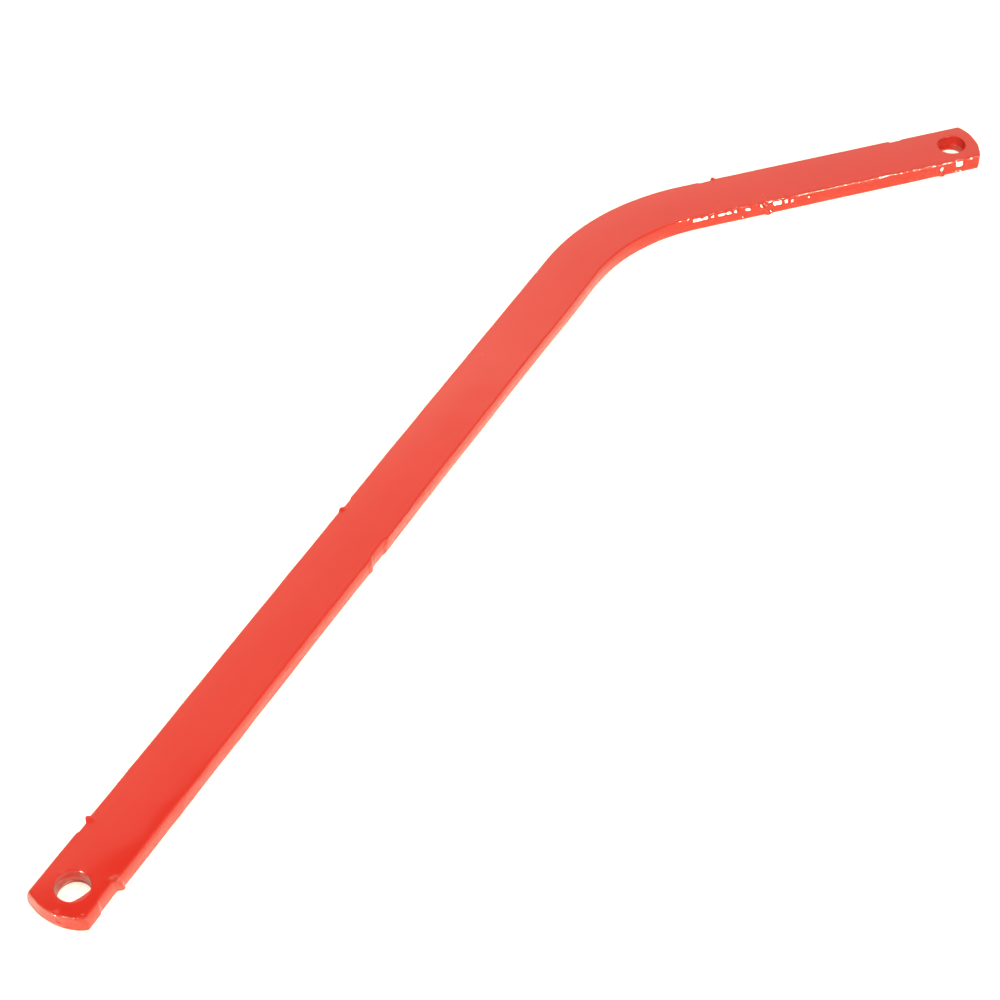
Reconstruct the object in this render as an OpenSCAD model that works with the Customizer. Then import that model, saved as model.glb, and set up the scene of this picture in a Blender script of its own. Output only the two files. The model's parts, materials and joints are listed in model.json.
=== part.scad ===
// Tow link bar: one flat steel bar, bent once on edge, with a pin hole at each end.
// The origin is the centre of the first hole on the underside, +X runs along the
// long leg and the short leg turns towards -Y. All sizes are in millimetres.

/* [Bar stock] */
// Width of the flat bar
bar_w = 31.75; // [28:0.05:40]
// Thickness of the flat bar
bar_t = 9.525; // [6:0.005:13]
// Chamfer along every long corner and around both ends
corner = 0.8; // [0.2:0.1:1.4]

/* [Plan shape] */
// Length from the first hole's centre to the start of the bend
long_leg = 496; // [400:1:800]
// Radius of the bend at its inner edge
bend_inner_r = 125; // [60:1:250]
// Angle through which the bar is bent on edge
bend_angle = 42; // [10:1:80]
// Length from the end of the bend to the second hole's centre
short_leg = 179; // [170:1:400]
// How much fuller the bar is left by the bend, on its width and thickness
bend_swell = 0.02; // [0.01:0.01:0.1]

/* [Ends] */
// Distance from each hole's centre to the tip of its end
end_margin = 16.2; // [14:0.1:22]
// Radius of the shallow arc across each end
crown_r = 28; // [24:0.5:60]

/* [Pin holes] */
// Diameter of both holes, a running fit on a 5/8 inch pin
hole_d = 16.7; // [12:0.1:18]
// Size of the rounded-over edge around the upper mouth of a hole
hole_break = 0.4; // [0.2:0.1:0.8]

/* [Edge marks] */
// Distance from a hole to the trim step on its far edge
step_far = 36.5; // [30:0.5:45]
// Distance from a hole to the trim step on its near edge
step_near = 12.5; // [11:0.5:16]
// Depth of a trim step
step_depth = 1; // [0.4:0.1:1.5]
// Distance from the first hole to the step in the middle of the long leg
mid_step_at = 243; // [200:1:300]
// Length of the shallow relief that follows the middle step
mid_step_len = 118; // [60:1:140]
// Depth of that relief
mid_step_depth = 0.4; // [0.2:0.1:0.8]
// Distance from the second hole back to the notch on the outer edge of the short leg
notch_at = 165; // [150:1:168]
// Length of that notch
notch_len = 7; // [4:0.5:12]
// Radius of a cut-off bead left on an edge
bead_r = 1.6; // [1:0.1:2.5]
// Height that a large bead stands proud of its edge
bead_tall = 1.1; // [0.5:0.1:1.5]
// Height that a small bead stands proud of its edge
bead_low = 0.6; // [0.3:0.1:1]

/* [Hidden] */
$fn = 96;
half_w = bar_w / 2;
bend_r = bend_inner_r + half_w;
crown_x = crown_r - end_margin;
clear = 1;
lap = 0.5;
outer = 1;
inner = -1;
// Beads as [distance from the hole, side of the bar, height]
first_beads = [[35, outer, bead_tall], [263, outer, bead_low]];
second_beads = [[158, outer, bead_low], [136.5, inner, bead_tall], [14, inner, bead_tall]];

// Cross-section of the bar with its corners taken off, resting on y = 0
module section(swell) {
    side = half_w + swell;
    top = bar_t + swell;
    polygon([
        [-side + corner, 0], [side - corner, 0], [side, corner], [side, top - corner],
        [side - corner, top], [-side + corner, top], [-side, top - corner], [-side, corner]
    ]);
}

// Straight stock from behind the tip of an end to just inside the bend
module straight_stock(length) {
    translate([-end_margin - clear, 0, 0])
        rotate([90, 0, 90])
            linear_extrude(height = end_margin + clear + length + lap)
                section(0);
}

// Everything that the arc across an end leaves standing
module crown_envelope(length) {
    translate([crown_x, 0, 0])
        rotate_extrude()
            polygon([
                [0, 0], [crown_r - corner, 0], [crown_r, corner],
                [crown_r, bar_t - corner], [crown_r - corner, bar_t], [0, bar_t]
            ]);
    translate([0, -bar_w, -clear])
        cube([length + clear, 2 * bar_w, bar_t + 2 * clear]);
}

// Bead of metal on one edge of a leg, short of both faces
module bead(at, side, height) {
    translate([at, side * (half_w + height - bead_r), corner])
        cylinder(r = bead_r, h = bar_t - 2 * corner);
}

// Recess of one depth in one edge of a leg, from one distance to another
module edge_recess(from, to, side, depth) {
    y_low = side == outer ? half_w - depth : -half_w - clear;
    translate([from, y_low, -clear])
        cube([to - from, depth + clear, bar_t + 2 * clear]);
}

// Round hole for a pin, broken at the mouth that it was punched from
module pin_hole() {
    hole_r = hole_d / 2;
    translate([0, 0, -clear])
        cylinder(r = hole_r, h = bar_t + 2 * clear);
    translate([0, 0, bar_t - hole_break])
        cylinder(r1 = hole_r, r2 = hole_r + 2 * hole_break, h = 2 * hole_break);
}

// Leg with its crowned end and its beads, its hole's centre at the origin
module leg_blank(length, beads) {
    intersection() {
        straight_stock(length);
        crown_envelope(length);
    }
    for (b = beads) bead(b[0], b[1], b[2]);
}

module long_leg_shape() {
    difference() {
        leg_blank(long_leg, first_beads);
        pin_hole();
        edge_recess(-end_margin - clear, step_near, inner, step_depth);
        edge_recess(mid_step_at, mid_step_at + notch_len, inner, step_depth);
        edge_recess(mid_step_at, mid_step_at + mid_step_len, inner, mid_step_depth);
    }
}

// Drawn from its own hole towards the bend, then turned end for end
module short_leg_shape() {
    mirror([1, 0, 0])
        difference() {
            leg_blank(short_leg, second_beads);
            pin_hole();
            edge_recess(-end_margin - clear, step_far, outer, step_depth);
            edge_recess(notch_at - notch_len, notch_at, outer, step_depth);
        }
}

// Bend, swept clockwise from the end of the long leg
module bend() {
    rotate([0, 0, 90])
        mirror([0, 1, 0])
            rotate_extrude(angle = bend_angle, $fn = 360)
                translate([bend_r, 0]) section(bend_swell);
}

module bar() {
    color([0.90, 0.20, 0.14]) {
        long_leg_shape();
        translate([long_leg, -bend_r, 0]) {
            bend();
            rotate([0, 0, -bend_angle])
                translate([short_leg, bend_r, 0])
                    short_leg_shape();
        }
    }
}

bar();
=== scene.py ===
# Tow link bar: a flat steel bar, bent once on edge, drilled at both ends and painted red.
# The bar is modelled straight, in "bar coordinates": s runs along its middle from the first
# hole, lat is the distance to the left of that line and z is the height, all in millimetres.
# to_row_frame() then bends it, and the mesh goes out in metres.
import json
import math

import bmesh
import bpy
import numpy as np
from mathutils import Matrix, Vector


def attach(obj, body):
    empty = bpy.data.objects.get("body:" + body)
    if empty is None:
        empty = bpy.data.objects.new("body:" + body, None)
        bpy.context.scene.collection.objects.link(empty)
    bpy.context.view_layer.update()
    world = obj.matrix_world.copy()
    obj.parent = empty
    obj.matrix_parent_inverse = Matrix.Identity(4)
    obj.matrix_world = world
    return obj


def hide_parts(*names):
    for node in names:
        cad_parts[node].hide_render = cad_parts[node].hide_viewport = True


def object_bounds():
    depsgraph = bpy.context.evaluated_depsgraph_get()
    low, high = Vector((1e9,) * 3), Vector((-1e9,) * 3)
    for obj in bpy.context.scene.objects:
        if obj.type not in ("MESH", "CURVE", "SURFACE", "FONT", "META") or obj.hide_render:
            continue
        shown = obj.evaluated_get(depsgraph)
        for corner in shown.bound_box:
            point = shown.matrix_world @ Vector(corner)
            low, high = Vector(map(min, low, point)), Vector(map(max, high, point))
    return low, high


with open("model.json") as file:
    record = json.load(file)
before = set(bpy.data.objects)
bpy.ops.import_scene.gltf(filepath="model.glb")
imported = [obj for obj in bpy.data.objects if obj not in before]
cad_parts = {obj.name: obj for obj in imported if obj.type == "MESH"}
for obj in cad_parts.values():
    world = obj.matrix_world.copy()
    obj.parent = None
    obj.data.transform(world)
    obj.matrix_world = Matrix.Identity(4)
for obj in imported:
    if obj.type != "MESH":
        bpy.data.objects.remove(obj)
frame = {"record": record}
cad_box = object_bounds()

# ---------------------------------------------------------------- sizes, in millimetres
MM = 0.001
mounts = {m["name"]: m for m in frame["record"]["mounts"]}
far_hole_x, far_hole_y, _ = (c / MM for c in mounts["short_end_hole"]["pos_m"])

bar_w = 31.75
bar_t = 9.525
bend_inner_r = 125
bend_angle = math.radians(42)
# From each hole's centre to the tip of its end
end_margin = 16.2
crown_r = 28
crown_corner_r = 1.6
# Rounding of the top edges, and height of the rounding at the foot
edge_r = 0.75
foot_r = 0.5
# From each hole's centre to where its end's mesh meets the plain run of the bar
collar = 15.0
# Radii round a hole that take in its wall, and its lip too
wall_reach = 8.9
lip_reach = 9.5

half_w = bar_w / 2
bend_r = bend_inner_r + half_w
# Both legs follow from where the frame has the second hole
short_leg = (-far_hole_y - bend_r * (1 - math.cos(bend_angle))) / math.sin(bend_angle)
long_leg = far_hole_x - bend_r * math.sin(bend_angle) - short_leg * math.cos(bend_angle)
bend_end = long_leg + bend_r * bend_angle
path_length = bend_end + short_leg

LEFT = 1
RIGHT = -1


# ---------------------------------------------------------------- small numeric helpers
def smooth(x, low, high):
    """0 below low, 1 above high, with an eased ramp between."""
    t = np.clip((np.asarray(x, float) - low) / (high - low), 0, 1)
    return t * t * (3 - 2 * t)


def hump(x, middle, width):
    """A bell of height 1 that has faded to a third at width from its middle."""
    return np.exp(-(((np.asarray(x, float) - middle) / width) ** 2))


def waves(points, shortest, longest, count, seed):
    """Gentle random relief of unit rms over points of any dimension, from a sum of sines."""
    rng = np.random.default_rng(seed)
    points = np.atleast_2d(np.asarray(points, float).T).T
    total = np.zeros(len(points))
    for _ in range(count):
        direction = rng.normal(size=points.shape[1])
        direction /= np.linalg.norm(direction)
        wavelength = rng.uniform(shortest, longest)
        phase = rng.uniform(0, 2 * math.pi)
        total += np.sin(points @ direction * (2 * math.pi / wavelength) + phase)
    return total * math.sqrt(2 / count)


def to_row_frame(points):
    """Bar coordinates (s, lat, z) to the row frame: straight, round the bend, straight."""
    s, lat, z = np.asarray(points, float).T
    turn = np.clip((s - long_leg) / bend_r, 0, bend_angle)
    past = np.maximum(s - bend_end, 0)
    x = np.minimum(s, long_leg) + (bend_r + lat) * np.sin(turn) + past * np.cos(turn)
    y = -bend_r + (bend_r + lat) * np.cos(turn) - past * np.sin(turn)
    return np.stack([x, y, z], 1)


# ---------------------------------------------------------------- marks on the long edges
# Ridges left by the shear: (side, s at the top, s at the bottom, width, height)
RIDGES = [
    (RIGHT, 12.7, 15.0, 1.1, 1.0),
    (RIGHT, 68.0, 60.0, 3.5, 0.10),
    (RIGHT, 112.0, 114.0, 1.6, 0.08),
    (RIGHT, 237.0, 238.6, 1.8, 0.45),
    (RIGHT, 257.5, 247.5, 0.9, 0.20),
    (RIGHT, 637.8, 644.8, 1.9, 1.25),
    (RIGHT, 760.6, 764.2, 1.9, 1.15),
]
# Stretches cut a little deep: (side, from s, to s, lean of the far end, two ramps, depth)
RECESSES = [
    (LEFT, 26, 32.5, 0, 2.0, 2.0, 0.65),
    (LEFT, 264.5, 272, 0, 3.0, 3.0, 0.50),
    (LEFT, 611, 619.4, 0, 1.2, 1.2, 0.85),
    (LEFT, 742, 750, 0, 1.2, 1.2, 0.45),
    (LEFT, 742, 900, 0, 1.2, 1.2, 0.75),
    (RIGHT, -40, 11.8, 2.4, 1.6, 1.0, 0.70),
    (RIGHT, -1, 11.8, 2.4, 1.4, 1.0, 0.65),
    (RIGHT, 240.4, 253.5, -3.0, 1.4, 4.0, 0.70),
]
# Slow wander of each edge from its true line: (s, outward)
WANDER = {
    LEFT: (
        (-20, 0.78), (16, 0.78), (44, 0.58), (60, 0.60), (100, 0.54), (120, 0.60), (345, 0.63),
        (370, 0.50), (412, 0.30), (440, 0.52), (480, 0.62), (506, 0.42), (540, 0.62), (560, 0.46),
        (605, 0.45), (620, 0.82), (660, 0.90), (690, 0.80), (740, 0.86), (752, 1.22), (800, 1.22),
    ),
    RIGHT: (
        (-20, 0.35), (190, 0.40), (236, 0.75), (244, 0.55), (280, 0.45), (292, 0.25), (360, 0.50),
        (430, 0.50), (450, 0.70), (500, 0.62), (515, 0.38), (800, 0.42),
    ),
}
# Beads of paint: (s, lat, z), (plan angle, elevation) they swell toward, spread, height
NUBS = [
    ((34.4, 15.7, 8.9), (90, 40), 1.35, 1.55),
    ((262.5, 15.9, 8.9), (90, 35), 1.7, 0.95),
    ((620.9, 16.1, 8.9), (90, 35), 1.2, 1.3),
    ((12.4, -15.0, 9.2), (-105, 60), 1.35, 1.15),
    ((-16.1, -2.3, 9.0), (185, 35), 1.3, 0.55),
    ((-16.2, -2.7, 2.8), (185, 32), 1.3, 0.60),
    ((-10.1, -14.2, 1.8), (-122, 28), 1.3, 0.60),
    ((3.3, 7.9, 9.0), (-110, 35), 1.0, 0.35),
    ((8.6, 0.8, 9.0), (-174, 40), 1.0, 0.15),
]
# Gouges in the right-hand side of the short leg: (from s, to s, low z, high z, depth)
GOUGES = [
    (593.2, 604.6, 6.0, 8.0, 0.70),
    (606.0, 608.6, 6.3, 7.8, 0.52),
    (610.4, 615.8, 6.4, 7.9, 0.54),
    (616.2, 620.0, 6.4, 8.0, 0.57),
    (621.2, 624.0, 6.0, 8.1, 0.72),
    (628.7, 632.9, 5.0, 7.4, 0.84),
    (636.2, 638.0, 6.2, 8.2, 0.66),
    (640.2, 642.0, 6.2, 8.2, 0.66),
    (647.2, 654.2, 3.7, 7.9, 1.40),
    (655.0, 658.2, 3.8, 7.6, 1.25),
    (659.4, 661.8, 4.8, 7.0, 0.80),
    (670.6, 672.8, 5.2, 7.0, 0.65),
    (761.1, 763.3, 3.4, 7.1, 1.30),
    (772.9, 778.8, 3.3, 7.4, 1.50),
    (626.2, 628.6, 0.9, 2.7, 0.95),
    (639.8, 642.2, 1.4, 3.8, 1.20),
    (644.6, 647.0, 0.6, 2.8, 1.20),
    (763.2, 765.4, 1.2, 3.2, 1.10),
    (772.6, 775.0, 0.4, 2.0, 0.95),
    (776.0, 778.4, 0.3, 1.8, 0.95),
]
# Length over which a gouge's two ends come out, and height over which its top edge does
gouge_ramp = 1.0
gouge_sill = 0.9
# Height at which both long edges are fullest, between their roundings
fullest_z = 5


def ridge_height(s, drop, top, bottom, width, height):
    """One ridge, leaning from top to bottom, with only part of its height at the top edge."""
    from_crest = (s - top - (bottom - top) * drop) / width
    share = 0.3 + 0.7 * smooth(drop, 0, 0.35)
    return height * share * np.exp(-(from_crest**4))


def recess_depth(s, drop, start, stop, lean, ramp_in, ramp_out, depth):
    """One deep stretch, ramped at both ends, with its far end leaning."""
    stop_here = stop + lean * (drop - 0.5)
    begun = smooth(s, start - ramp_in / 2, start + ramp_in / 2)
    ended = smooth(s, stop_here - ramp_out / 2, stop_here + ramp_out / 2)
    return depth * begun * (1 - ended)


def gouge_depth(s, z):
    """All the gouges: each falls in slowly from its low side and comes back out fast."""
    half = gouge_ramp / 2
    total = np.zeros(len(s))
    for start, stop, low, high, depth in GOUGES:
        inside = smooth(s, start - half, start + half) * (1 - smooth(s, stop - half, stop + half))
        fall = np.clip((z - low) / (high - low), 0, 1) ** 1.15
        total += depth * inside * fall * (1 - smooth(z, high, high + gouge_sill))
    return total


def ragged_crest(s, z):
    """The short leg's sheared top edge is ragged, so light breaks into dots along it."""
    strength = smooth(s, 574, 586) * hump(z, bar_t - 0.3, 1.0) * (1 + 0.9 * smooth(s, 690, 755))
    short_waves = 0.14 * waves(s, 3.8, 5.4, 5, 71)
    long_waves = 0.10 * waves(s, 8, 13, 4, 72)
    return strength * (short_waves + long_waves)


def edge_offset(s, side, z):
    """How far an edge of the bar stands out from its true line, by station and height."""
    above = np.maximum(z - fullest_z, 0)
    below = np.maximum(fullest_z - z, 0)
    drop = (bar_t - z) / bar_t
    wander_s, wander_out = zip(*WANDER[side])
    out = np.interp(s, wander_s, wander_out)
    slow_relief = 0.045
    fine_relief = 0.008
    out += slow_relief * waves(np.stack([s, 3 * z], 1), 14, 50, 9, 11 + side)
    out += fine_relief * waves(np.stack([s, 0.7 * z], 1), 5, 12, 12, 31 + side)
    upper_round = 0.034
    lower_round = 0.012
    if side == RIGHT:
        # The shear left a short flat after the middle step, and a square foot at the first end
        cut_flat = smooth(s, 252, 256) * (1 - smooth(s, 281, 284))
        upper_round = 0.034 * (1 - 0.9 * cut_flat)
        lower_round = 0.013 * smooth(s, 60, 380)
    out -= upper_round * above**2 + lower_round * below**2
    for mark_side, *shape in RIDGES:
        if mark_side == side:
            out += ridge_height(s, drop, *shape)
    for mark_side, *shape in RECESSES:
        if mark_side == side:
            out -= recess_depth(s, drop, *shape)
    if side == RIGHT:
        # The short leg's side leans out toward its foot
        lean = 0.35
        out += lean * smooth(s, 540, 600) * drop
        out -= gouge_depth(s, z)
        out += ragged_crest(s, z)
    return out


def face_drop(s, lat):
    """The top face falls away to its edges, further on the side the shear came down."""
    rolled = np.maximum(lat + 3, 0)
    thick_coat = 0.0003 + 0.0013 * (1 - smooth(s, 60, 110))
    return 0.0011 * rolled**2 + thick_coat * np.maximum(-lat - 7, 0) ** 2


def add_nubs(points):
    """Beads of paint swell the surface round them."""
    for centre, (plan, rise), spread, height in NUBS:
        plan, rise = math.radians(plan), math.radians(rise)
        way = (math.cos(plan) * math.cos(rise), math.sin(plan) * math.cos(rise), math.sin(rise))
        away = np.linalg.norm(points - centre, axis=1) / spread
        points += np.outer(height * np.exp(-(away**2.6)), way)


def displaced(points):
    """Bar coordinates with the edges' marks and the coat's slow waves worked in."""
    points = np.array(points, float)
    s, lat, z = np.array(points.T)
    drop = (bar_t - z) / bar_t
    # The right-hand top edge is crisper past the bend, and most of all at the end
    crisp = 0.55 * smooth(s, 560, 585) + 0.37 * smooth(s, 735, 752)
    crisp *= 1 - smooth(s, path_length - 2, path_length + 6)
    hair = 0.001
    on_edge = (lat < edge_r - half_w + hair) & (z > bar_t - edge_r - hair)
    points[:, 1] -= on_edge * crisp * (lat + half_w)
    points[:, 2] += on_edge * crisp * (bar_t - z)
    for side in (LEFT, RIGHT):
        near_edge = smooth(side * lat, half_w - 5, half_w - edge_r)
        points[:, 1] += side * near_edge * edge_offset(s, side, z)
    # The bar bows slightly to the right where the bend begins
    bow = 0.6
    points[:, 1] -= bow * hump(s, 482, 52)
    height_share = smooth(z, 0.5 * bar_t, bar_t)
    points[:, 2] -= height_share * face_drop(s, lat)
    top = smooth(z, bar_t - edge_r, bar_t)
    coat_relief = 0.010
    points[:, 2] += top * coat_relief * waves(np.stack([s, lat], 1), 16, 48, 14, 5)
    # The first end's foot is dragged to the left, and the last end's left corner runs long
    foot_drag = 2.2
    points[:, 1] += foot_drag * drop * (1 - smooth(s, -9, 6)) * smooth(lat, -2, 14)
    corner_run = 0.2
    beyond = smooth(s, path_length, path_length + 10)
    points[:, 0] += corner_run * beyond * np.logaddexp(0, lat / 2)
    tip = smooth(np.maximum(-s, s - path_length), 6, 12)
    tip_relief = 0.04
    tip_wave = tip_relief * waves(np.stack([lat, z], 1), 5, 14, 8, 17)
    points[:, 0] += tip * tip_wave * np.where(s < 0, -1, 1)
    add_nubs(points)
    return points


# ---------------------------------------------------------------- outline of one end
def end_outline():
    """Points and outward normals round the first end, from the left edge to the right."""
    centre_s = crown_r - end_margin
    corner_lat = half_w - crown_corner_r
    corner_s = centre_s - math.sqrt((crown_r - crown_corner_r) ** 2 - corner_lat**2)
    corner_angle = math.atan2(corner_lat, corner_s - centre_s)
    edge_s = collar - (collar - corner_s) * (np.arange(40) / 40) ** 0.95
    points = [(s, half_w) for s in edge_s]
    normals = [(0.0, 1.0)] * len(points)
    for a in np.linspace(math.pi / 2, corner_angle, 7):
        out_s, out_lat = math.cos(a), math.sin(a)
        points.append((corner_s + crown_corner_r * out_s, corner_lat + crown_corner_r * out_lat))
        normals.append((out_s, out_lat))
    for a in np.linspace(corner_angle, math.pi, 24)[1:]:
        out_s, out_lat = math.cos(a), math.sin(a)
        points.append((centre_s + crown_r * out_s, crown_r * out_lat))
        normals.append((out_s, out_lat))
    points += [(s, -lat) for s, lat in points[-2::-1]]
    normals += [(out_s, -out_lat) for out_s, out_lat in normals[-2::-1]]
    return np.array(points), np.array(normals)


# ---------------------------------------------------------------- holes
def degrees_from(angle, middle):
    """How many degrees an angle in radians is from a direction in degrees."""
    return np.abs((np.degrees(angle) - middle + 180) % 360 - 180)


def lobe(angle, middle, spread):
    """1 in one direction round a hole (degrees), fading to 0 at spread degrees from it."""
    return 1 - smooth(degrees_from(angle, middle), 0, spread)


def shifted_circle(angle, radius, shift, toward):
    """Distance to a circle whose centre is shifted toward an angle in degrees."""
    return radius + shift * np.cos(angle - math.radians(toward))


def near_hole(angle):
    """Radii of the first hole's mouth, foot and the outside of its lip."""
    # Thick paint lies across one side of the mouth and cuts it flat
    flat_at = 6.7
    away = np.minimum(degrees_from(angle, -112), 70)
    flat = flat_at / np.cos(np.radians(away))
    mouth = 8.3 + 0.15 * lobe(angle, 60, 90)
    mouth = mouth - np.logaddexp(0, (mouth - flat) * 4) / 4
    foot = shifted_circle(angle, 7.45, 1.25, 20)
    rim = 8.75 - 0.35 * lobe(angle, 145, 60) + 0.55 * lobe(angle, -118, 70)
    return mouth, foot, rim


def far_hole(angle):
    """Radii of the second hole's mouth, foot and the outside of its lip."""
    world = angle - bend_angle
    foot = shifted_circle(world, 6.8, 0.8, -50)
    rim = 8.9 + 0.45 * lobe(world, 10, 35) - 0.5 * lobe(world, 68, 35) + 1.8 * lobe(world, 168, 90)
    mouth = rim - 0.4 - 0.9 * lobe(world, 175, 80)
    return mouth, foot, rim


def hole_rows(angle, radii, straight_share, closed_share):
    """(radius, z) rows down a hole, from the top face over the lip to the bottom face.

    The wall keeps to its mouth over straight_share of its height, then closes to its foot.
    """
    mouth, foot, rim = radii(angle)
    lip_w = np.maximum(rim - mouth, 0.25)
    lip_h = np.minimum(lip_w, 0.3 + 0.3 * lip_w)
    heel_r = 0.25
    rows = []
    for a in np.linspace(0, math.pi / 2, 8):
        rows.append((mouth + lip_w * (1 - math.sin(a)), bar_t - lip_h * (1 - math.cos(a))))
    below_lip = bar_t - lip_h
    for share in np.linspace(0, 1, 14)[1:]:
        z = below_lip + (heel_r - below_lip) * share
        rows.append((mouth + (foot - mouth) * smooth(share, straight_share, closed_share), z))
    wall_foot = rows[-1][0]
    for a in np.linspace(0, math.pi / 2, 4)[1:]:
        z = np.full_like(mouth, heel_r * (1 - math.sin(a)))
        rows.append((wall_foot + heel_r * (1 - math.cos(a)), z))
    return rows


# ---------------------------------------------------------------- the mesh, in bar coordinates
# Positions across a face, closer together toward the edges
across = (half_w - edge_r) * np.sin(np.linspace(-math.pi / 2, math.pi / 2, 17))


def side_profile():
    """(inset, z) rows down a side: over the top rounding, down the wall and under the foot."""
    top = [
        (edge_r * (1 - math.sin(a)), bar_t - edge_r * (1 - math.cos(a)))
        for a in np.linspace(0, math.pi / 2, 7)
    ]
    wall = [(0.0, z) for z in np.linspace(bar_t - edge_r, foot_r, 14)[1:-1]]
    foot = [
        (edge_r * (1 - math.cos(a)), foot_r * (1 - math.sin(a)))
        for a in np.linspace(0, math.pi / 2, 6)
    ]
    return top + wall + foot


def stations():
    """Stations along the bar, closer together where the edges carry fine marks."""
    marked = [ridge[1] for ridge in RIDGES]
    marked += [recess[k] for recess in RECESSES for k in (1, 2)]
    marked += [centre[0] for centre, *_ in NUBS]
    fine_step = 0.35
    plain_extra = 1.45
    ragged_from = 585
    ragged_step = 0.5
    out = [collar]
    while out[-1] < path_length - collar:
        s = out[-1]
        to_mark = min(abs(s - m) for m in marked)
        step = fine_step + plain_extra * smooth(to_mark, 2, 6) if s < ragged_from else ragged_step
        out.append(s + float(step))
    out = np.array(out)
    return collar + (out - collar) * (path_length - 2 * collar) / (out[-1] - collar)


class BarMesh:
    """Collects quads in bar coordinates."""

    def __init__(self):
        self.points = []
        self.quads = []

    def patch(self, rows, closed=False):
        """A sheet of quads over equal rows of points; closed joins each row's end to its start."""
        rows = np.asarray(rows, float)
        count, width = rows.shape[:2]
        first = sum(len(p) for p in self.points)
        self.points.append(rows.reshape(-1, 3))
        for i in range(count - 1):
            for j in range(width if closed else width - 1):
                k = (j + 1) % width
                a, b = first + i * width, first + (i + 1) * width
                self.quads.append((a + j, a + k, b + k, b + j))


def flat_row(points, z):
    """(s, lat) points as a row at one height."""
    points = np.asarray(points, float)
    return np.c_[points, np.full(len(points), z)]


def add_end(mesh, radii, wall_shares, mirrored):
    """The end beyond the collar: both faces as rings of quads round the hole, and the hole."""

    def place(row):
        row = np.array(row, float)
        if mirrored:
            row[:, 0] = path_length - row[:, 0]
        return row

    points, normals = end_outline()
    inset = points - normals * edge_r
    middle = np.stack([np.full(len(across) - 2, collar), across[1:-1]], 1)
    ring = np.concatenate([inset, middle])
    angle = np.arctan2(ring[:, 1], ring[:, 0])
    # A mirrored end sees its hole from the other side
    seen = math.pi - angle if mirrored else angle
    rows = hole_rows(seen, radii, *wall_shares)
    direction = np.stack([np.cos(angle), np.sin(angle)], 1)
    mesh.patch([place(np.c_[direction * radius[:, None], z]) for radius, z in rows], closed=True)
    shares = (0, 0.06, 0.16, 0.3, 0.45, 0.6, 0.75, 0.88, 0.96, 1)
    for z, radius in ((bar_t, rows[0][0]), (0.0, rows[-1][0])):
        mouth = direction * radius[:, None]
        mesh.patch([place(flat_row(mouth + (ring - mouth) * t, z)) for t in shares], closed=True)


def build_bar():
    """The whole skin: both faces, both ends with their holes, and the side all the way round."""
    mesh = BarMesh()
    s_rows = stations()
    for z in (bar_t, 0.0):
        mesh.patch([[(s, lat, z) for lat in across] for s in s_rows])
    add_end(mesh, near_hole, wall_shares=(0.0, 1.05), mirrored=False)
    add_end(mesh, far_hole, wall_shares=(0.42, 0.95), mirrored=True)
    near, near_normals = end_outline()
    far = near * (-1, 1) + (path_length, 0)
    left = np.stack([s_rows, np.full(len(s_rows), half_w)], 1)
    straight = np.tile((0.0, 1.0), (len(s_rows), 1))
    loop = np.concatenate([near[::-1], left[1:-1], far, left[::-1][1:-1] * (1, -1)])
    normals = np.concatenate(
        [near_normals[::-1], straight[1:-1], near_normals * (-1, 1), straight[1:-1] * (1, -1)]
    )
    mesh.patch([flat_row(loop - normals * inset, z) for inset, z in side_profile()], closed=True)
    return mesh


# ---------------------------------------------------------------- where the coat changes
def bore_streak_mask(points):
    """Where the hole walls show streaky colour: the first hole's thin coat, its pale pink partly a
    painted reflection of the floor, and low on one side of the second hole.
    """
    s, lat, z = points.T
    first = (np.hypot(s, lat) < wall_reach) * (1 - smooth(z, bar_t - 2.4, bar_t - 0.8))
    covered = lobe(np.arctan2(lat, s), 42, 80) * smooth(z, 2.5, 6.0)
    way = np.arctan2(lat, s - path_length) - bend_angle
    second = (np.hypot(s - path_length, lat) < wall_reach) * lobe(way, -18, 50)
    return np.clip(first * (1 - covered) + 0.6 * second * (1 - smooth(z, 2.5, 5.0)), 0, 1)


def worn_mask(points):
    """Where the edges are chipped: along the first end's right-hand crown and under its hole."""
    s, lat, z = points.T
    inside_crown = crown_r - np.hypot(s - (crown_r - end_margin), lat)
    crown = hump(lat, -9.0, 4.5) * hump(inside_crown, 0.25, 0.5) * hump(z, bar_t - 0.1, 0.5)
    corner = hump(np.hypot(s + 10.6, lat + 13.6), 0, 0.9) * hump(z, bar_t - 0.3, 0.8)
    hole_side = hump(np.hypot(s + 8.2, lat - 1.2), 0, 1.6) * hump(z, bar_t - 0.2, 0.6)
    on_first_end = s < 5
    return np.clip(0.8 * crown + 0.8 * corner + 0.7 * hole_side, 0, 1) * on_first_end


def dull_mask(points):
    """Where the coat has little gloss: the first hole's wall, and the upper wall of the second."""
    s, lat, z = points.T
    first = (np.hypot(s, lat) < wall_reach) * (1 - smooth(z, bar_t - 1.6, bar_t - 0.6))
    lip_clear = 1 - smooth(z, bar_t - 1.2, bar_t - 0.5)
    second = (np.hypot(s - path_length, lat) < lip_reach) * smooth(z, 3.8, 5.2) * lip_clear
    return np.clip(first + second, 0, 1)


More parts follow.
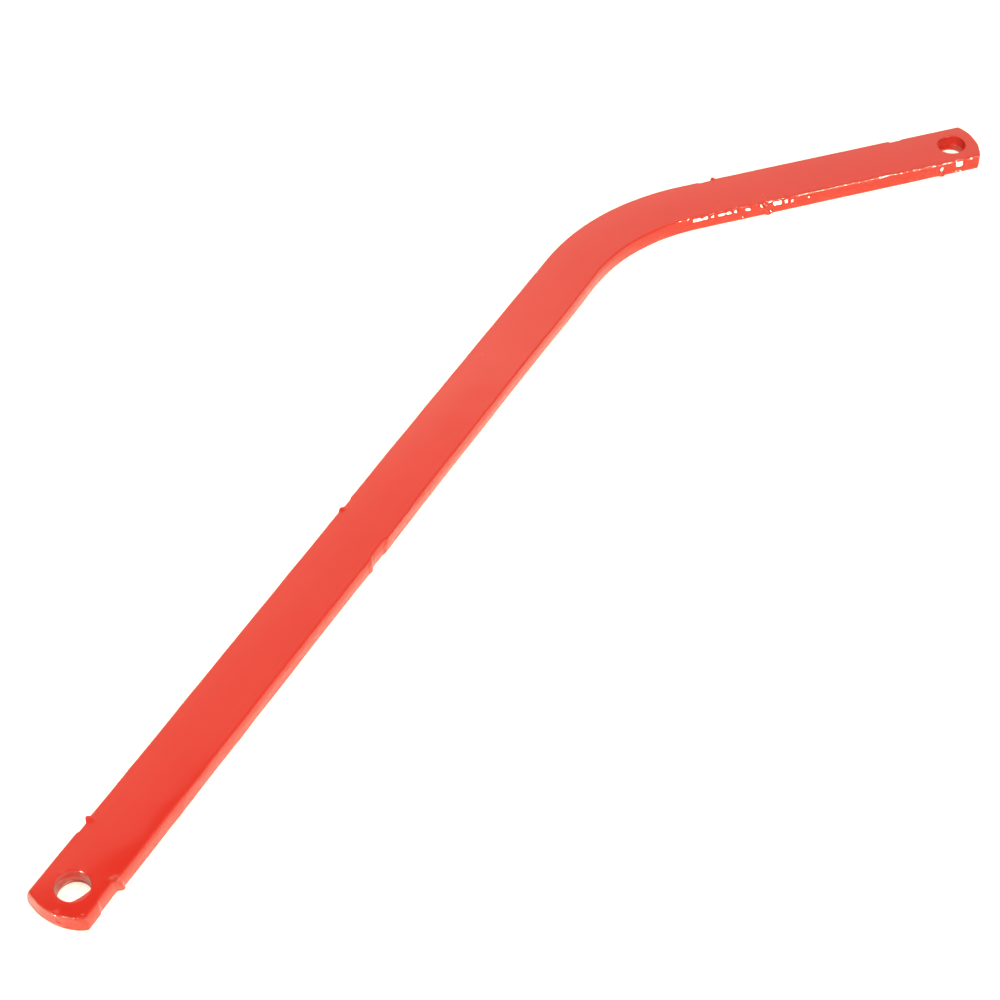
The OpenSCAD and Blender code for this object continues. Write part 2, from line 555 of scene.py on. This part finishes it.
def new_bar(name, points, faces, material, masks):
    """The bar's object, from points in bar coordinates and named masks on its points."""
    weld_distance = 2e-6
    mesh = bpy.data.meshes.new(name)
    mesh.from_pydata((to_row_frame(points) * MM).tolist(), [], faces)
    for mask_name, values in masks.items():
        mask = mesh.attributes.new(mask_name, "FLOAT", "POINT")
        mask.data.foreach_set("value", np.asarray(values, np.float32))
    mesh.materials.append(material)
    work = bmesh.new()
    work.from_mesh(mesh)
    bmesh.ops.remove_doubles(work, verts=work.verts, dist=weld_distance)
    bmesh.ops.recalc_face_normals(work, faces=work.faces)
    for face in work.faces:
        face.smooth = True
    work.to_mesh(mesh)
    work.free()
    piece = bpy.data.objects.new(name, mesh)
    bpy.context.scene.collection.objects.link(piece)
    return piece


# ---------------------------------------------------------------- shader nodes
def add_node(tree, kind, settings=None, **values):
    """A shader node with its settings, and its sockets either set or linked.

    A keyword names a socket, with _ for a space, or gives its number, as in _0.
    """
    made = tree.nodes.new(kind)
    for key, value in (settings or {}).items():
        setattr(made, key, value)
    for key, value in values.items():
        by_number = key[1:].isdigit()
        socket = made.inputs[int(key[1:])] if by_number else made.inputs[key.replace("_", " ")]
        if isinstance(value, bpy.types.NodeSocket):
            tree.links.new(value, socket)
        else:
            socket.default_value = value
    return made


def math_node(tree, operation, *values):
    """The output of a math node; the values fill its sockets in order."""
    inputs = {f"_{k}": value for k, value in enumerate(values)}
    return add_node(tree, "ShaderNodeMath", {"operation": operation}, **inputs).outputs[0]


def noise_node(tree, place, scale, **values):
    """The strength of a noise texture over places."""
    return add_node(tree, "ShaderNodeTexNoise", Vector=place, Scale=scale, **values).outputs["Fac"]


def mask_node(tree, name):
    """One of the mesh's masks."""
    return add_node(tree, "ShaderNodeAttribute", {"attribute_name": name}).outputs["Fac"]


def ramp_node(tree, fac, stops):
    """A colour ramp through (position, colour) stops."""
    made = add_node(tree, "ShaderNodeValToRGB", Fac=fac)
    elements = made.color_ramp.elements
    while len(elements) < len(stops):
        elements.new(1.0)
    for element, (position, colour) in zip(elements, stops):
        element.position = position
        element.color = (*colour, 1)
    return made.outputs["Color"]


def range_node(tree, kind, value, low, high, start, stop):
    """A value taken from start at low to stop at high, and held beyond them."""
    made = add_node(tree, "ShaderNodeMapRange", {"interpolation_type": kind}, Value=value)
    for name, number in (("From Min", low), ("From Max", high), ("To Min", start), ("To Max", stop)):
        made.inputs[name].default_value = number
    return made.outputs["Result"]


def ease_node(tree, value, low, high, start=0.0, stop=1.0):
    """range_node with an eased ramp."""
    return range_node(tree, "SMOOTHSTEP", value, low, high, start, stop)


def level_node(tree, value, low, high, start, stop):
    """range_node with a straight ramp."""
    return range_node(tree, "LINEAR", value, low, high, start, stop)


def mix_node(tree, fac, first, second):
    """The output of a colour mix; first and second are colours or sockets."""
    made = add_node(tree, "ShaderNodeMix", {"data_type": "RGBA"}, _0=fac)
    for index, value in ((6, first), (7, second)):
        if isinstance(value, bpy.types.NodeSocket):
            tree.links.new(value, made.inputs[index])
        else:
            made.inputs[index].default_value = (*value, 1)
    return made.outputs[2]


def new_material(name):
    """A material, its node tree and its main shader."""
    material = bpy.data.materials.new(name)
    material.use_nodes = True
    tree = material.node_tree
    return material, tree, tree.nodes["Principled BSDF"]


# ---------------------------------------------------------------- red enamel
ENAMEL = (0.57, 0.026, 0.015)
ENAMEL_THICK = (0.56, 0.023, 0.013)
ENAMEL_TINT = (1, 0.96, 0.7, 1)
ENAMEL_ROUGHNESS = 0.08
DULL_ROUGHNESS = 0.6
FULL_GLOSS = 0.5
DULL_GLOSS = 0.12
# Pale speck colour for dust nibs, a painted highlight
DUST_NIB_HIGHLIGHT = (0.75, 0.33, 0.27)
# Streaky hole-wall colours, dark primer to pale pink; the pale pink is partly a painted reflection
# of the floor
BORE_STREAK_STOPS = [
    (0.32, (0.24, 0.045, 0.036)),
    (0.44, (0.47, 0.085, 0.065)),
    (0.56, (0.56, 0.15, 0.12)),
    (0.70, (0.66, 0.34, 0.29)),
]
CHIP_STOPS = [(0.42, (0.26, 0.09, 0.05)), (0.60, (0.62, 0.24, 0.13))]


def bore_streak_colours(tree, place):
    """Streaky colours for the hole walls, in flat streaks round the bore: primer under a thin coat,
    its pale pink partly a painted reflection of the floor.
    """
    flat = add_node(tree, "ShaderNodeMapping", Vector=place)
    flat.inputs["Scale"].default_value = (160, 160, 900)
    return ramp_node(tree, noise_node(tree, flat.outputs[0], 1.0, Detail=4.0), BORE_STREAK_STOPS)


def dust_nib_highlights(tree, place):
    """Dust nibs caught in the coat, shown as a few pale specks, one in some of the cells: the pale
    is a painted highlight on each nib.
    """
    cells = add_node(tree, "ShaderNodeTexVoronoi", Vector=place, Scale=170.0)
    parts = add_node(tree, "ShaderNodeSeparateColor", Color=cells.outputs["Color"])
    chosen = math_node(tree, "GREATER_THAN", parts.outputs[0], 0.93)
    near = ease_node(tree, cells.outputs["Distance"], 0.020, 0.034, 1.0, 0.0)
    return math_node(tree, "MULTIPLY", chosen, near)


def red_enamel():
    """Glossy red enamel over primer.

    The mesh's masks: one shows streaky colours in the holes, their pale pink partly a painted
    reflection of the floor; "worn" allows small brown to pale chips and "dull" takes the gloss away.
    Pale dust specks stand for highlights on dust nibs, a painted highlight.
    """
    material, tree, shader = new_material("red_enamel")
    place = add_node(tree, "ShaderNodeTexCoord").outputs["Object"]
    cloud = noise_node(tree, place, 28.0, Detail=3.0)
    colour = ramp_node(tree, cloud, [(0.35, ENAMEL_THICK), (0.65, ENAMEL)])
    # Streaky colour in the holes: thin coat over primer, its pale pink partly a painted reflection
    # of the floor
    colour = mix_node(tree, mask_node(tree, "bore_streaks"), colour, bore_streak_colours(tree, place))

    grit = ease_node(tree, noise_node(tree, place, 1300.0, Detail=2.0), 0.48, 0.56)
    chips = math_node(tree, "MULTIPLY", mask_node(tree, "worn"), grit)
    chip_colour = ramp_node(tree, noise_node(tree, place, 700.0), CHIP_STOPS)
    colour = mix_node(tree, chips, colour, chip_colour)
    # Pale specks: a painted highlight on each dust nib
    colour = mix_node(tree, dust_nib_highlights(tree, place), colour, DUST_NIB_HIGHLIGHT)
    tree.links.new(colour, shader.inputs["Base Color"])

    dull = mask_node(tree, "dull")
    matt = math_node(tree, "MAXIMUM", math_node(tree, "MULTIPLY", dull, 0.5), chips)
    roughness = ease_node(tree, matt, 0.0, 1.0, ENAMEL_ROUGHNESS, DULL_ROUGHNESS)
    tree.links.new(roughness, shader.inputs["Roughness"])
    glossless = math_node(tree, "MAXIMUM", dull, chips)
    gloss = level_node(tree, glossless, 0.0, 1.0, FULL_GLOSS, DULL_GLOSS)
    tree.links.new(gloss, shader.inputs["Specular IOR Level"])
    shader.inputs["Specular Tint"].default_value = ENAMEL_TINT

    peel = noise_node(tree, place, 420.0, Detail=1.0)
    bump = add_node(tree, "ShaderNodeBump", Height=peel, Strength=1.0, Distance=3e-6)
    tree.links.new(bump.outputs["Normal"], shader.inputs["Normal"])
    return material


# ---------------------------------------------------------------- the bar
mesh = build_bar()
true_points = np.concatenate(mesh.points)
# The first mask holds the streaky hole colours, partly a painted reflection of the floor
masks = {
    "bore_streaks": bore_streak_mask(true_points),
    "worn": worn_mask(true_points),
    "dull": dull_mask(true_points),
}
bar = new_bar("painted_bar", displaced(true_points), mesh.quads, red_enamel(), masks)
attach(bar, "root")
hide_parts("bar")

# ---------------------------------------------------------------- floor
FLOOR_REACH = 12.0
FLOOR_GAP = 0.0002
# Floor colour and glow: warm near the bar, a painted pool of warm light, neutral far off
FLOOR_NEAR = (0.9, 0.88, 0.72)
FLOOR_FAR = (0.9, 0.9, 0.89)
GLOW_NEAR = (1, 0.98, 0.82)
GLOW_FAR = (1, 1, 1)


def pale_floor():
    """Matt studio paper that glows a little, a painted light: warm round the bar, a painted pool of
    warm light, and neutral further away.
    """
    material, tree, shader = new_material("pale_floor")
    place = add_node(tree, "ShaderNodeTexCoord").outputs["Object"]
    away = add_node(tree, "ShaderNodeVectorMath", {"operation": "LENGTH"}, _0=place)
    far = ease_node(tree, away.outputs["Value"], 1.0, 2.2)
    tree.links.new(mix_node(tree, far, FLOOR_NEAR, FLOOR_FAR), shader.inputs["Base Color"])
    tree.links.new(mix_node(tree, far, GLOW_NEAR, GLOW_FAR), shader.inputs["Emission Color"])
    shader.inputs["Emission Strength"].default_value = 0.4
    shader.inputs["Roughness"].default_value = 0.9
    shader.inputs["Specular IOR Level"].default_value = 0.0
    return material


def new_floor():
    """A wide sheet just under the bar."""
    floor_z = cad_box[0].z - FLOOR_GAP
    corners = [(-1, -1), (1, -1), (1, 1), (-1, 1)]
    sheet = bpy.data.meshes.new("floor")
    points = [(FLOOR_REACH * x, FLOOR_REACH * y, floor_z) for x, y in corners]
    sheet.from_pydata(points, [], [(0, 1, 2, 3)])
    sheet.materials.append(pale_floor())
    piece = bpy.data.objects.new("floor", sheet)
    bpy.context.scene.collection.objects.link(piece)
    return piece


floor = new_floor()

# ---------------------------------------------------------------- studio and lights
# Brightness of the ceiling panels against distance along the ceiling
PANEL_LEVELS = [
    (0.50, 0.80),
    (0.57, 0.86),
    (0.74, 1.16),
    (0.86, 1.25),
    (0.93, 1.45),
    (0.985, 1.95),
    (1.02, 1.62),
    (1.07, 1.45),
    (1.20, 1.42),
    (1.60, 1.42),
]
PANEL_BLUE = 0.97
COVE_LEVEL = (0.6, 0.6, 0.6)
# Share of the panels' brightness left in the gap between them
GAP_LEVEL = 0.15
# A colour ramp runs only from 0 to 1, so the panels' figures are halved in it
RAMP_SPAN = 2.0


def panel_stops():
    """The panels' levels as colour stops, a little warm."""
    stops = []
    for at, level in PANEL_LEVELS:
        share = level / RAMP_SPAN
        stops.append((at / RAMP_SPAN, (share, share, share * PANEL_BLUE)))
    return stops


def scale_node(tree, vector, factor):
    """A colour or vector times a factor, which is a number or a socket."""
    made = add_node(tree, "ShaderNodeVectorMath", {"operation": "SCALE"}, _0=vector, Scale=factor)
    return made.outputs[0]


def build_studio():
    """A white cove: brighter toward the back, with a gap between its panels over the front."""
    world = bpy.data.worlds.new("studio")
    bpy.context.scene.world = world
    world.use_nodes = True
    tree = world.node_tree
    sky = tree.nodes["Background"]
    toward = add_node(tree, "ShaderNodeTexCoord").outputs["Generated"]
    x, y, z = add_node(tree, "ShaderNodeSeparateXYZ", Vector=toward).outputs
    # Where a ray would meet a ceiling one unit up, along and across
    height = math_node(tree, "MAXIMUM", z, 0.05)
    along = math_node(tree, "DIVIDE", x, height)
    across_ceiling = math_node(tree, "DIVIDE", y, height)
    panel = ramp_node(tree, math_node(tree, "DIVIDE", along, RAMP_SPAN), panel_stops())
    lean = math_node(
        tree,
        "ADD",
        level_node(tree, across_ceiling, 0.5, 0.7, 0.0, 0.44),
        level_node(tree, across_ceiling, 0.24, 0.5, -0.32, 0.0),
    )
    # The panels stop short over the front: one edge runs across, the other slants away
    slant = math_node(tree, "MULTIPLY_ADD", along, 1.05, across_ceiling)
    lit = math_node(
        tree,
        "MULTIPLY",
        ease_node(tree, along, 0.514, 0.528, GAP_LEVEL, 1.0),
        ease_node(tree, slant, 1.049, 1.065, GAP_LEVEL, 1.0),
    )
    full = scale_node(tree, panel, RAMP_SPAN)
    leaned = add_node(tree, "ShaderNodeVectorMath", {"operation": "ADD"}, _0=full, _1=lean)
    panels = scale_node(tree, leaned.outputs[0], lit)
    # The panels hang ahead of the camera only; plain cove fills the rest
    above = math_node(
        tree, "MULTIPLY", ease_node(tree, along, 0.30, 0.42), ease_node(tree, z, 0.35, 0.5)
    )
    ahead = math_node(tree, "MULTIPLY", above, ease_node(tree, across_ceiling, -0.1, 0.15))
    tree.links.new(mix_node(tree, ahead, COVE_LEVEL, panels), sky.inputs["Color"])
    sky.inputs["Strength"].default_value = 1.0


def area_light(name, place, target, size, radiance, fills=False, glints=False):
    """A softbox at place, facing target, in row-frame metres: it fills, makes glints, or both."""
    lamp = bpy.data.lights.new(name, "AREA")
    lamp.shape = "RECTANGLE"
    lamp.size, lamp.size_y = size
    lamp.energy = radiance * math.pi * size[0] * size[1]
    light = bpy.data.objects.new(name, lamp)
    light.location = place
    light.rotation_mode = "QUATERNION"
    light.rotation_quaternion = (Vector(target) - Vector(place)).to_track_quat("-Z", "Y")
    light.visible_diffuse = fills
    light.visible_glossy = glints
    bpy.context.scene.collection.objects.link(light)
    return light


build_studio()
area_light("key_softbox", (0.15, -0.15, 1.5), (0.2, 0, 0), (0.9, 0.9), 6.35, fills=True)
area_light("side_softbox", (-4.3, -3.9, 3.0), (0.3, 0, 0), (1.9, 1.9), 17, fills=True)
area_light("front_softbox", (-0.35, -3.38, 0.71), (0.65, -0.09, 0), (0.85, 1.0), 160, glints=True)
area_light("left_strip", (-1.35, 0.42, 0.55), (0, 0, 0), (0.2, 0.8), 700, glints=True)

# ---------------------------------------------------------------- camera
CAMERA_PLACE = (-0.43696, -0.42949, 0.85952)
# Radians: from the x axis toward y, down from level, and about the line of sight
CAMERA_HEADING = 0.4664
CAMERA_TILT = 0.7946
CAMERA_ROLL = -0.0292
CAMERA_LENS = 81.26
CAMERA_SENSOR = 36


def add_camera():
    """The photo's viewpoint, set as the scene's camera."""
    camera_data = bpy.data.cameras.new("camera")
    camera_data.sensor_width = CAMERA_SENSOR
    camera_data.lens = CAMERA_LENS
    camera_data.clip_start = 0.05
    camera_data.clip_end = 50
    camera = bpy.data.objects.new("camera", camera_data)
    forward = Vector(
        (
            math.cos(CAMERA_HEADING) * math.cos(CAMERA_TILT),
            math.sin(CAMERA_HEADING) * math.cos(CAMERA_TILT),
            -math.sin(CAMERA_TILT),
        )
    )
    level = Vector((math.sin(CAMERA_HEADING), -math.cos(CAMERA_HEADING), 0))
    right = level * math.cos(CAMERA_ROLL) + forward.cross(level) * math.sin(CAMERA_ROLL)
    down = forward.cross(right)
    turned = Matrix((right, -down, -forward)).transposed().to_4x4()
    camera.matrix_world = Matrix.Translation(CAMERA_PLACE) @ turned
    bpy.context.scene.collection.objects.link(camera)
    bpy.context.scene.camera = camera


add_camera()
bpy.context.scene.view_settings.view_transform = "Standard"
